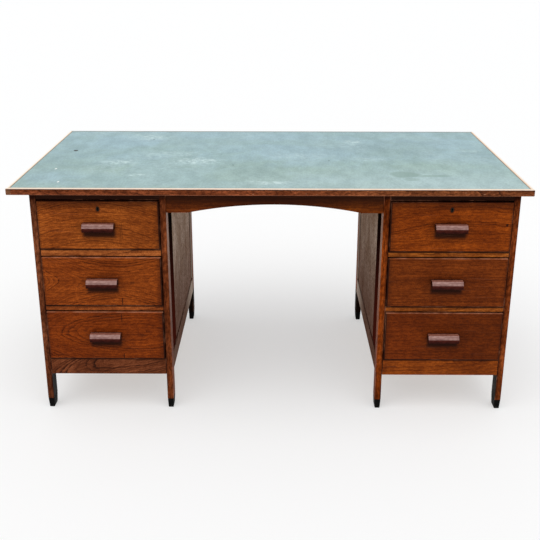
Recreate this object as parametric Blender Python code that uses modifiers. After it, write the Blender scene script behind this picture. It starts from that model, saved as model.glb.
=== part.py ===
"""A twin-pedestal teacher's desk: lipped top with a linoleum inlay, six drawers, open kneehole.

Metres, +Z up.  The front of the desk faces -Y, and left and right are as seen from the front.
The origin is on the floor, under the middle of the top.
"""
import math

import bmesh
import bpy
from mathutils import Matrix

# ---------------------------------------------------------------- driving dimensions
GAP = 0.0003                     # between pieces that touch
REACH = 0.010                    # how far a cutter runs past what it cuts

TOP_WIDTH = 1.524
TOP_DEPTH = 0.850
DESK_HEIGHT = 0.730
TOP_THICKNESS = 0.020
LIPPING_WIDTH = 0.0107
LIPPING_ROUNDING = 0.0026
LINO_THICKNESS = 0.003
LINO_SET_DOWN = 0.0004

BASE_SHIFT = 0.0145              # the top has slid this far to the left on its base
FRONT_OVERHANG = 0.034
BASE_DEPTH = 0.755
KNEEHOLE_WIDTH = 0.640
PEDESTAL_WIDTH = 0.400

LEG_WIDTH = 0.019
LEG_DEPTH = 0.046
FOOT_HEIGHT = 0.032
FOOT_TAPER = 0.84                # size of the sole against the size of the foot's top
FOOT_SOCKET_DEPTH = 0.016
FOOT_WALL = 0.0030

BASE_BOTTOM = 0.120              # underside of the bottom rails and of the side frames
BOTTOM_RAIL_HEIGHT = 0.054
DIVIDER_HEIGHT = 0.017
OPENING_HEIGHTS = {"bottom": 0.162, "middle": 0.160, "top": 0.158}
UPPER_DIVIDER_EXTRA = {"left": 0.005, "right": 0.0}    # the left one is thicker, into the top opening

FRAME_RAIL_HEIGHT = 0.054        # rails of the side and back frames
PANEL_SET_BACK = 0.0045          # panel margin behind the face of its frame
FIELD_SET_BACK = 0.0005
SIDE_MARGIN = 0.088              # from a leg to the raised field
SIDE_BEVEL = 0.074               # part of that margin that slopes up to the field
BACK_MARGIN = 0.052              # the same two on the back panels, which are narrower
BACK_BEVEL = 0.038
END_MARGIN = 0.014               # above and below the raised field
END_BEVEL = 0.010
BEVEL_OVERRUN = 1.15             # how far a field's bevel runs on inside the panel
RUNNER_WIDTH = 0.025

APRON_THICKNESS = 0.019
APRON_SET_BACK = 0.003
APRON_END_BOTTOM = 0.648
APRON_RISE = 0.0255
APRON_FLAT = 0.063               # straight stretch at each end of the arch
APRON_ARC_POINTS = 24
BACK_APRON_BOTTOM = 0.620

FRONT_THICKNESS = 0.020
FRONT_PROUD = 0.006              # drawer fronts ahead of the legs
FRONT_SIDE_GAP = 0.0016
FRONT_BOTTOM_GAP = 0.0015
FRONT_TOP_GAP = 0.0025
FRONT_ROUNDING = 0.0028
BOX_DEPTH = 0.670
BOX_WALL = 0.012
BOX_BOTTOM_THICKNESS = 0.006
BOX_BOTTOM_SET_UP = 0.008
BOX_HEADROOM = 0.014             # from the box's upper edge to the rail above it

HANDLE_LENGTH = 0.094
HANDLE_HEIGHT = 0.023
HANDLE_DEPTH = 0.024
HANDLE_TOP_DEPTH = 0.0160        # level upper surface, before the sloping facet
HANDLE_NOSE_DROP = 0.0110        # height of the sloping facet
HANDLE_LIP_DEPTH = 0.0190        # where the underside starts to rise for the fingers
HANDLE_FOOT_RISE = 0.0050        # how much higher the underside is at the drawer front
HANDLE_DROP = 0.0017             # handle's middle below the middle of the usual opening

LOCK_WIDTH = 0.056
LOCK_HEIGHT = 0.044
LOCK_DEPTH = 0.0100
LOCK_TOP_DROP = 0.0005
SLEEVE_RADIUS = 0.0044
SLEEVE_STRETCH = 1.55            # height of the keyhole sleeve against its width
KEYHOLE_RADIUS = 0.0026
KEYHOLE_SLOT = (0.0026, 0.0070)
KEYHOLE_DROP = 0.024             # keyhole's middle below the drawer front's upper edge
BOLT_SIZE = (0.018, 0.0048, 0.028)
BOLT_TRAVEL = 0.008

# ---------------------------------------------------------------- worked-out places
TOP_UNDERSIDE = DESK_HEIGHT - TOP_THICKNESS
BASE_FRONT = -TOP_DEPTH / 2 + FRONT_OVERHANG
BASE_BACK = BASE_FRONT + BASE_DEPTH
FRAME_FRONT = BASE_FRONT + LEG_DEPTH
FRAME_BACK = BASE_BACK - LEG_DEPTH
OPENING_WIDTH = PEDESTAL_WIDTH - 2 * LEG_WIDTH
BOTTOM_RAIL_TOP = BASE_BOTTOM + BOTTOM_RAIL_HEIGHT
FRONT_FACE = BASE_FRONT - FRONT_PROUD
FRONT_BACK = FRONT_FACE + FRONT_THICKNESS
SIDES = {"left": -1, "right": 1}


def opening_spans(side):
    """Lowest and highest Z of each drawer opening of a pedestal, from the bottom drawer up."""
    spans = {}
    floor = BOTTOM_RAIL_TOP
    for level in ("bottom", "middle", "top"):
        spans[level] = (floor, floor + OPENING_HEIGHTS[level])
        floor += OPENING_HEIGHTS[level] + DIVIDER_HEIGHT
    low, high = spans["top"]
    spans["top"] = (low + UPPER_DIVIDER_EXTRA[side], high)
    return spans


def pedestal_centre(side):
    """X of the middle of a pedestal."""
    return BASE_SHIFT + SIDES[side] * (KNEEHOLE_WIDTH + PEDESTAL_WIDTH) / 2


# ---------------------------------------------------------------- scene and materials
def clear_scene():
    """Empty the scene."""
    for obj in list(bpy.data.objects):
        bpy.data.objects.remove(obj, do_unlink=True)


def make_collection(name):
    """Add a collection to the scene."""
    collection = bpy.data.collections.new(name)
    bpy.context.scene.collection.children.link(collection)
    return collection


def make_material(name, colour, roughness, metallic=0.0):
    """A plain Principled material."""
    material = bpy.data.materials.new(name)
    material.use_nodes = True
    shader = material.node_tree.nodes["Principled BSDF"]
    shader.inputs["Base Color"].default_value = (*colour, 1.0)
    shader.inputs["Roughness"].default_value = roughness
    shader.inputs["Metallic"].default_value = metallic
    return material


clear_scene()
PARTS = make_collection("teacher_desk")
CUTTERS = make_collection("cutters")
OAK = make_material("oak", (0.21, 0.065, 0.018), 0.45)
OAK_PANEL = make_material("oak_panel", (0.16, 0.10, 0.07), 0.5)
LIPPING_WOOD = make_material("lipping_wood", (0.24, 0.09, 0.035), 0.5)
LINOLEUM = make_material("linoleum", (0.33, 0.46, 0.46), 0.6)
MAHOGANY = make_material("mahogany", (0.16, 0.045, 0.03), 0.35)
DRAWER_LINING = make_material("drawer_lining", (0.42, 0.26, 0.14), 0.6)
FOOT_BLACK = make_material("foot_black", (0.008, 0.009, 0.01), 0.5)
LOCK_STEEL = make_material("lock_steel", (0.12, 0.11, 0.10), 0.4, 1.0)


# ---------------------------------------------------------------- building blocks
def place(obj, name, collection, material=None, parent=None):
    """Name an object, put it in its collection and hang it on its parent."""
    obj.name = name
    obj.data.name = name
    for old in list(obj.users_collection):
        old.objects.unlink(obj)
    collection.objects.link(obj)
    if material:
        obj.data.materials.append(material)
    if parent:
        obj.parent = parent
        obj.location = obj.location - parent.location
    return obj


def as_tool(obj):
    """Mark an object as a cutter or a joined block, which is not a piece itself."""
    obj.hide_render = True
    obj.display_type = "WIRE"
    return obj


def cube_between(low, high):
    """A cube primitive that fills the space between two corners."""
    centre = [(a + b) / 2 for a, b in zip(low, high)]
    size = [b - a for a, b in zip(low, high)]
    bpy.ops.mesh.primitive_cube_add(size=1, location=centre)
    obj = bpy.context.object
    obj.data.transform(Matrix.Diagonal((*size, 1.0)))
    return obj


def block(name, low, high, material, parent=None, rounding=0.0):
    """A rectangular piece."""
    obj = place(cube_between(low, high), name, PARTS, material, parent)
    if rounding:
        round_edges(obj, rounding)
    return obj


def tool_block(name, low, high, parent=None):
    """A rectangular cutter, or a block to be joined."""
    return as_tool(place(cube_between(low, high), name, CUTTERS, parent=parent))


def round_edges(obj, width, segments=2):
    """Round every sharp edge of a piece."""
    bevel = obj.modifiers.new("rounding", "BEVEL")
    bevel.width = width
    bevel.segments = segments
    bevel.limit_method = "ANGLE"
    bevel.angle_limit = math.radians(30)
    return bevel


def combine(obj, tool, operation):
    """Cut a tool out of a piece, or join it on."""
    boolean = obj.modifiers.new(operation.lower(), "BOOLEAN")
    boolean.operation = operation
    boolean.solver = "EXACT"
    boolean.object = tool


def extruded(name, points, thickness, location, rotation, material, parent=None, rounding=0.0):
    """A flat outline given a thickness, as a closed mesh."""
    curve = bpy.data.curves.new(name + "_outline", "CURVE")
    curve.dimensions = "2D"
    curve.fill_mode = "BOTH"
    curve.extrude = thickness / 2
    spline = curve.splines.new("POLY")
    spline.points.add(len(points) - 1)
    for point, (x, y) in zip(spline.points, points):
        point.co = (x, y, 0.0, 1.0)
    spline.use_cyclic_u = True
    outline = bpy.data.objects.new(name + "_outline", curve)
    PARTS.objects.link(outline)
    outline.location = location
    outline.rotation_euler = rotation
    bpy.context.view_layer.update()
    evaluated = outline.evaluated_get(bpy.context.evaluated_depsgraph_get())
    mesh = bpy.data.meshes.new_from_object(evaluated)
    cage = bmesh.new()
    cage.from_mesh(mesh)
    bmesh.ops.remove_doubles(cage, verts=cage.verts, dist=0.00001)
    bmesh.ops.recalc_face_normals(cage, faces=cage.faces)
    cage.to_mesh(mesh)
    cage.free()
    obj = bpy.data.objects.new(name, mesh)
    obj.matrix_world = outline.matrix_world
    bpy.data.objects.remove(outline, do_unlink=True)
    place(obj, name, PARTS, material, parent)
    if rounding:
        round_edges(obj, rounding)
    return obj


def make_empty(name, location):
    """An empty that a drawer's pieces hang on."""
    empty = bpy.data.objects.new(name, None)
    empty.location = location
    empty.empty_display_size = 0.05
    PARTS.objects.link(empty)
    return empty


# ---------------------------------------------------------------- the top
def add_top():
    """Core board with the linoleum laid into its lippings."""
    half_width = TOP_WIDTH / 2 - LIPPING_WIDTH - GAP
    half_depth = TOP_DEPTH / 2 - LIPPING_WIDTH - GAP
    lino_top = DESK_HEIGHT - LINO_SET_DOWN
    lino_bottom = lino_top - LINO_THICKNESS
    block("top_board", (-half_width, -half_depth, TOP_UNDERSIDE),
          (half_width, half_depth, lino_bottom - GAP), OAK)
    block("top_lino", (-half_width, -half_depth, lino_bottom),
          (half_width, half_depth, lino_top), LINOLEUM)
    add_lipping("lipping_front", TOP_WIDTH, -TOP_DEPTH / 2, 0.0)
    add_lipping("lipping_back", TOP_WIDTH, -TOP_DEPTH / 2, math.pi)
    add_lipping("lipping_left", TOP_DEPTH, -TOP_WIDTH / 2, -math.pi / 2)
    add_lipping("lipping_right", TOP_DEPTH, -TOP_WIDTH / 2, math.pi / 2)


def add_lipping(name, length, outer_edge, turn):
    """One lipping with mitred ends, built along X at the front and turned to its side."""
    bpy.ops.mesh.primitive_cube_add(size=1)
    obj = bpy.context.object
    obj.data.transform(Matrix.Diagonal((length, LIPPING_WIDTH, TOP_THICKNESS, 1.0)))
    obj.data.transform(Matrix.Translation((0, outer_edge + LIPPING_WIDTH / 2, 0)))
    cage = bmesh.new()
    cage.from_mesh(obj.data)
    for vert in cage.verts:
        mitre = LIPPING_WIDTH if vert.co.y > outer_edge + LIPPING_WIDTH / 2 else 0.0
        vert.co.x -= math.copysign(mitre + GAP, vert.co.x)
    weight = cage.edges.layers.float.new("bevel_weight_edge")
    for edge in cage.edges:
        along = abs(edge.verts[0].co.x - edge.verts[1].co.x) > length / 2
        outside = edge.verts[0].co.y < outer_edge + LIPPING_WIDTH / 2
        if along:
            edge[weight] = 1.0 if outside else 0.25
    cage.to_mesh(obj.data)
    cage.free()
    place(obj, name, PARTS, LIPPING_WOOD)
    obj.location.z = TOP_UNDERSIDE + TOP_THICKNESS / 2
    obj.rotation_euler.z = turn
    bevel = round_edges(obj, LIPPING_ROUNDING, 4)
    bevel.limit_method = "WEIGHT"


# ---------------------------------------------------------------- legs and feet
def add_leg(name, low_x, low_y):
    """A leg with a tongue at its lower end, and the cap foot that it stands in."""
    high_x = low_x + LEG_WIDTH
    high_y = low_y + LEG_DEPTH
    leg = block("leg_" + name, (low_x, low_y, FOOT_HEIGHT + GAP),
                (high_x, high_y, TOP_UNDERSIDE - GAP), OAK)
    round_edges(leg, 0.0012)
    inset = FOOT_WALL + GAP
    tongue = tool_block("tongue_" + name,
                        (low_x + inset, low_y + inset, FOOT_HEIGHT - FOOT_SOCKET_DEPTH + GAP),
                        (high_x - inset, high_y - inset, FOOT_HEIGHT + REACH))
    combine(leg, tongue, "UNION")

    foot = cube_between((low_x, low_y, 0.0), (high_x, high_y, FOOT_HEIGHT))
    for vert in foot.data.vertices:
        if vert.co.z < 0:
            vert.co.x *= FOOT_TAPER
            vert.co.y *= FOOT_TAPER
    place(foot, "foot_" + name, PARTS, FOOT_BLACK)
    round_edges(foot, 0.0022, 3)
    socket = tool_block("socket_" + name,
                        (low_x + FOOT_WALL, low_y + FOOT_WALL, FOOT_HEIGHT - FOOT_SOCKET_DEPTH),
                        (high_x - FOOT_WALL, high_y - FOOT_WALL, FOOT_HEIGHT + REACH))
    combine(foot, socket, "DIFFERENCE")


def add_legs():
    """Four legs for each pedestal."""
    for side, direction in SIDES.items():
        centre = pedestal_centre(side)
        reach = PEDESTAL_WIDTH / 2
        places = {"outer": direction, "inner": -direction}
        for which, outward in places.items():
            low_x = centre + outward * reach
            if outward > 0:
                low_x -= LEG_WIDTH
            add_leg(f"{side}_{which}_front", low_x, BASE_FRONT)
            add_leg(f"{side}_{which}_back", low_x, BASE_BACK - LEG_DEPTH)


# ---------------------------------------------------------------- framed panels
def raised_field(name, half, low, high, margin, bevel):
    """The raised middle of a panel, which slopes down to its margin on all four sides."""
    show_face = -LEG_WIDTH / 2 + FIELD_SET_BACK
    depth = (PANEL_SET_BACK - FIELD_SET_BACK) * BEVEL_OVERRUN
    slope_x = bevel * BEVEL_OVERRUN
    slope_z = END_BEVEL * BEVEL_OVERRUN
    field = tool_block(name, (-half + margin - slope_x, show_face, low + END_MARGIN - slope_z),
                       (half - margin + slope_x, show_face + depth, high - END_MARGIN + slope_z))
    for vert in field.data.vertices:
        if vert.co.y < 0:
            vert.co.x -= math.copysign(slope_x, vert.co.x)
            vert.co.z -= math.copysign(slope_z, vert.co.z)
    return field


def add_framed_panel(name, length, centre, turn, margin, bevel, runner_levels=()):
    """Rails and a raised panel between two legs.

    It is built along X with its show face towards -Y, and turned about the middle of its
    thickness. Runners, where it has them, stand on the inner face, +Y before turning.
    """
    half = length / 2 - GAP
    back = LEG_WIDTH / 2
    low = BASE_BOTTOM
    high = TOP_UNDERSIDE - GAP
    slab = block(name, (-half, -back, low), (half, back, high), OAK_PANEL)
    recess = tool_block(name + "_recess",
                        (-half - REACH, -back - REACH, low + FRAME_RAIL_HEIGHT),
                        (half + REACH, -back + PANEL_SET_BACK, high - FRAME_RAIL_HEIGHT))
    combine(slab, recess, "DIFFERENCE")
    field = raised_field(name + "_field", half, low + FRAME_RAIL_HEIGHT,
                         high - FRAME_RAIL_HEIGHT, margin, bevel)
    combine(slab, field, "UNION")
    tools = [recess, field]
    for number, level in enumerate(runner_levels):
        runner = tool_block(f"{name}_runner_{number}", (-half, 0.0, level - DIVIDER_HEIGHT),
                            (half, back + RUNNER_WIDTH, level))
        combine(slab, runner, "UNION")
        tools.append(runner)
    round_edges(slab, 0.0008, 1)
    turned = Matrix.Translation(centre) @ Matrix.Rotation(turn, 4, "Z")
    for obj in [slab, *tools]:
        obj.matrix_world = turned @ Matrix.Translation(obj.location)
    return slab


def add_pedestal_frames():
    """The framed sides and back of each pedestal."""
    middle = (FRAME_FRONT + FRAME_BACK) / 2
    for side, direction in SIDES.items():
        runner_levels = [span[0] for span in opening_spans(side).values()]
        centre = pedestal_centre(side)
        reach = (PEDESTAL_WIDTH - LEG_WIDTH) / 2
        for which, outward in (("outer", direction), ("inner", -direction)):
            turn = outward * math.pi / 2
            add_framed_panel(f"side_{side}_{which}", FRAME_BACK - FRAME_FRONT,
                             (centre + outward * reach, middle, 0.0), turn,
                             SIDE_MARGIN, SIDE_BEVEL, runner_levels)
        add_framed_panel(f"back_{side}", OPENING_WIDTH,
                         (centre, BASE_BACK - LEG_WIDTH / 2 - APRON_SET_BACK, 0.0), math.pi,
                         BACK_MARGIN, BACK_BEVEL)


# ---------------------------------------------------------------- front rails and aprons
def add_front_rails():
    """Top rail, two dividers and bottom rail between the front legs of each pedestal."""
    for side in SIDES:
        spans = opening_spans(side)
        rails = {
            "bottom": (BASE_BOTTOM, spans["bottom"][0]),
            "lower": (spans["bottom"][1], spans["middle"][0]),
            "upper": (spans["middle"][1], spans["top"][0]),
            "top": (spans["top"][1], TOP_UNDERSIDE - GAP),
        }
        centre = pedestal_centre(side)
        half = OPENING_WIDTH / 2 - GAP
        for level, (low, high) in rails.items():
            rail = block(f"rail_{side}_{level}", (centre - half, BASE_FRONT, low),
                         (centre + half, FRAME_FRONT, high), OAK)
            if level == "top":
                combine(rail, bolt_mortise(side, low), "DIFFERENCE")
            round_edges(rail, 0.0009)


def bolt_mortise(side, underside):
    """The pocket in a top rail that the lock's bolt rises into."""
    width, depth, _ = BOLT_SIZE
    centre = pedestal_centre(side)
    middle = bolt_middle()
    clearance = 0.0015
    return tool_block(f"mortise_{side}",
                      (centre - width / 2 - clearance, middle - depth / 2 - clearance,
                       underside - REACH),
                      (centre + width / 2 + clearance, middle + depth / 2 + clearance,
                       underside + BOLT_TRAVEL))


def add_aprons():
    """The arched apron across the kneehole and the plain one at the back."""
    half = KNEEHOLE_WIDTH / 2 - GAP
    chord = half - APRON_FLAT
    radius = (chord ** 2 + APRON_RISE ** 2) / (2 * APRON_RISE)
    spread = math.asin(chord / radius)
    top = TOP_UNDERSIDE - GAP - APRON_END_BOTTOM
    points = [(-half, top), (-half, 0.0)]
    for step in range(APRON_ARC_POINTS + 1):
        angle = -spread + 2 * spread * step / APRON_ARC_POINTS
        points.append((radius * math.sin(angle), APRON_RISE - radius * (1 - math.cos(angle))))
    points += [(half, 0.0), (half, top)]
    front = BASE_FRONT + APRON_SET_BACK
    extruded("apron_front", points, APRON_THICKNESS,
             (BASE_SHIFT, front + APRON_THICKNESS / 2, APRON_END_BOTTOM), (math.pi / 2, 0, 0),
             OAK, rounding=0.0010)
    back = BASE_BACK - APRON_SET_BACK
    block("apron_back", (BASE_SHIFT - half, back - APRON_THICKNESS, BACK_APRON_BOTTOM),
          (BASE_SHIFT + half, back, TOP_UNDERSIDE - GAP), OAK, rounding=0.0010)


# ---------------------------------------------------------------- drawers
def add_drawer_front(side, level, parent):
    """A drawer front, slightly proud of the legs, with softly rounded edges."""
    low, high = opening_spans(side)[level]
    half = OPENING_WIDTH / 2 - FRONT_SIDE_GAP
    centre = pedestal_centre(side)
    front = block(f"drawer_{side}_{level}_front",
                  (centre - half, FRONT_FACE, low + FRONT_BOTTOM_GAP),
                  (centre + half, FRONT_BACK, high - FRONT_TOP_GAP), OAK, parent)
    round_edges(front, FRONT_ROUNDING, 3)
    return front


def add_drawer_box(side, level, parent):
    """Sides, back and bottom of a drawer, glued up as one tray behind its front."""
    low, high = opening_spans(side)[level]
    low += GAP
    high -= BOX_HEADROOM
    half = OPENING_WIDTH / 2 - FRONT_SIDE_GAP
    centre = pedestal_centre(side)
    front = FRONT_BACK + GAP
    back = front + BOX_DEPTH
    name = f"drawer_{side}_{level}_box"
    tray = block(name, (centre - half, front, low), (centre + half, back, high),
                 DRAWER_LINING, parent)
    inner = half - BOX_WALL
    floor = low + BOX_BOTTOM_SET_UP
    inside = tool_block(name + "_inside",
                        (centre - inner, front - REACH, floor + BOX_BOTTOM_THICKNESS),
                        (centre + inner, back - BOX_WALL, high + REACH), parent)
    below = tool_block(name + "_below", (centre - inner, front - REACH, low - REACH),
                       (centre + inner, back + REACH, floor), parent)
    combine(tray, inside, "DIFFERENCE")
    combine(tray, below, "DIFFERENCE")
    round_edges(tray, 0.0008, 1)


def add_handle(side, level, parent):
    """A short wooden bar with a sloping upper facet and an underside that rises for the fingers."""
    opening_top = opening_spans(side)[level][1]
    middle = opening_top - OPENING_HEIGHTS[level] / 2 - HANDLE_DROP
    half = HANDLE_HEIGHT / 2
    profile = [
        (0.0, HANDLE_FOOT_RISE - half),
        (HANDLE_LIP_DEPTH, -half),
        (HANDLE_DEPTH, -half),
        (HANDLE_DEPTH, half - HANDLE_NOSE_DROP),
        (HANDLE_TOP_DEPTH, half),
        (0.0, half),
    ]
    extruded(f"drawer_{side}_{level}_handle", profile, HANDLE_LENGTH,
             (pedestal_centre(side), FRONT_FACE - GAP, middle),
             (math.pi / 2, 0, -math.pi / 2), MAHOGANY, parent, rounding=0.0012)


def bolt_middle():
    """Y of the middle of the lock's bolt, in the pocket behind the drawer front."""
    return FRONT_BACK - LOCK_DEPTH / 2


def add_lock(side, front, parent):
    """A lock let into the back of a top drawer's front, with its keyhole sleeve and bolt."""
    centre = pedestal_centre(side)
    front_top = opening_spans(side)["top"][1] - FRONT_TOP_GAP
    top = front_top - LOCK_TOP_DROP
    half = LOCK_WIDTH / 2
    pocket_front = FRONT_BACK - LOCK_DEPTH
    pocket = tool_block(f"lock_pocket_{side}",
                        (centre - half - GAP, pocket_front - GAP, top - LOCK_HEIGHT - GAP),
                        (centre + half + GAP, FRONT_BACK + REACH, front_top + REACH), parent)
    keyhole_z = front_top - KEYHOLE_DROP
    sleeve_hole = tool_oval(f"sleeve_hole_{side}", SLEEVE_RADIUS + GAP,
                            (centre, pocket_front, keyhole_z), 2 * FRONT_THICKNESS, parent)
    combine(front, pocket, "DIFFERENCE")
    combine(front, sleeve_hole, "DIFFERENCE")

    lock = block(f"lock_{side}", (centre - half, pocket_front, top - LOCK_HEIGHT),
                 (centre + half, FRONT_BACK - GAP, top), LOCK_STEEL, parent)
    sleeve_length = pocket_front - FRONT_FACE + 0.0004
    sleeve = tool_oval(f"sleeve_{side}", SLEEVE_RADIUS,
                       (centre, pocket_front - sleeve_length / 2 + 0.001, keyhole_z),
                       sleeve_length + 0.002, parent)
    combine(lock, sleeve, "UNION")
    bpy.ops.mesh.primitive_cylinder_add(vertices=16, radius=KEYHOLE_RADIUS, depth=0.016,
                                        location=(centre, FRONT_FACE, keyhole_z + 0.0025),
                                        rotation=(math.pi / 2, 0, 0))
    eye = as_tool(place(bpy.context.object, f"keyhole_eye_{side}", CUTTERS, parent=parent))
    slot_width, slot_height = KEYHOLE_SLOT
    slot = tool_block(f"keyhole_slot_{side}",
                      (centre - slot_width / 2, FRONT_FACE - 0.007, keyhole_z - slot_height / 2 - 0.0015),
                      (centre + slot_width / 2, FRONT_FACE + 0.007, keyhole_z + 0.0015), parent)
    combine(lock, eye, "DIFFERENCE")
    combine(lock, slot, "DIFFERENCE")

    width, depth, height = BOLT_SIZE
    middle = bolt_middle()
    slack = 0.0004
    channel = tool_block(f"bolt_channel_{side}",
                         (centre - width / 2 - slack, middle - depth / 2 - slack, top - height - slack),
                         (centre + width / 2 + slack, middle + depth / 2 + slack, top + REACH), parent)
    combine(lock, channel, "DIFFERENCE")
    block(f"bolt_{side}", (centre - width / 2, middle - depth / 2, top - height),
          (centre + width / 2, middle + depth / 2, top), LOCK_STEEL, parent, rounding=0.0006)


def tool_oval(name, radius, centre, length, parent):
    """An upright oval bar along Y, used to cut or join the keyhole sleeve."""
    bpy.ops.mesh.primitive_cylinder_add(vertices=20, radius=radius, depth=length,
                                        location=centre, rotation=(math.pi / 2, 0, 0))
    oval = bpy.context.object
    oval.data.transform(Matrix.Diagonal((1.0, SLEEVE_STRETCH, 1.0, 1.0)))
    return as_tool(place(oval, name, CUTTERS, parent=parent))


def add_drawers():
    """Three drawers in each pedestal, each hung on an empty at the middle of its front."""
    for side in SIDES:
        for level, (low, high) in opening_spans(side).items():
            slide = make_empty(f"slide_{side}_{level}",
                               (pedestal_centre(side), FRONT_FACE, (low + high) / 2))
            front = add_drawer_front(side, level, slide)
            if level == "top":
                add_lock(side, front, slide)
            add_drawer_box(side, level, slide)
            add_handle(side, level, slide)


add_top()
add_legs()
add_pedestal_frames()
add_front_rails()
add_aprons()
add_drawers()
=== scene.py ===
"""Looks of the teacher's desk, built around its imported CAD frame. Metres, +Z up, front towards -Y."""
import math

import bpy
from mathutils import Matrix, Vector


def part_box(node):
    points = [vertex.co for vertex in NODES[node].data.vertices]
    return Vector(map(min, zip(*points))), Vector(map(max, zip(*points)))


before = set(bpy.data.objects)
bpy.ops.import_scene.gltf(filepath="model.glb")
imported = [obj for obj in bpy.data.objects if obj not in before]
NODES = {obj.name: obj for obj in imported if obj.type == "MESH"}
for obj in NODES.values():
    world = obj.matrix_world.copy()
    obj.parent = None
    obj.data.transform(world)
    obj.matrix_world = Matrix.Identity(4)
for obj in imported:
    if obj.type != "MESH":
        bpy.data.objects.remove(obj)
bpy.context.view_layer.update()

X, Y, Z = 0, 1, 2
SIDES = {"left": -1, "right": 1}
LEVELS = ("top", "middle", "bottom")
LIPPING_NAMES = ("front", "back", "left", "right")
NO_TINT = (1.0, 1.0, 1.0)

# ---------------------------------------------------------------- camera
SENSOR = 36.0
CAMERA_LENS = 58.29
CAMERA_PLACE = (0.0178, -2.8632, 1.3800)
CAMERA_YAW = -0.0068             # radians, towards the right when above 0
CAMERA_PITCH = 0.3526            # radians below the level
CAMERA_ROLL = 0.0011


def add_camera():
    """The camera, standing in front of the desk and looking a little down on it."""
    data = bpy.data.cameras.new("camera")
    data.sensor_width = SENSOR
    data.lens = CAMERA_LENS
    data.clip_end = 200.0
    camera = bpy.data.objects.new("camera", data)
    bpy.context.scene.collection.objects.link(camera)
    forward = Vector((math.sin(CAMERA_YAW) * math.cos(CAMERA_PITCH),
                      math.cos(CAMERA_YAW) * math.cos(CAMERA_PITCH), -math.sin(CAMERA_PITCH)))
    level = Vector((math.cos(CAMERA_YAW), -math.sin(CAMERA_YAW), 0.0))
    upward = level.cross(forward)
    right = math.cos(CAMERA_ROLL) * level + math.sin(CAMERA_ROLL) * upward
    top = math.cos(CAMERA_ROLL) * upward - math.sin(CAMERA_ROLL) * level
    turn = Matrix((right, top, -forward)).transposed().to_4x4()
    camera.matrix_world = Matrix.Translation(CAMERA_PLACE) @ turn
    bpy.context.scene.camera = camera


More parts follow.
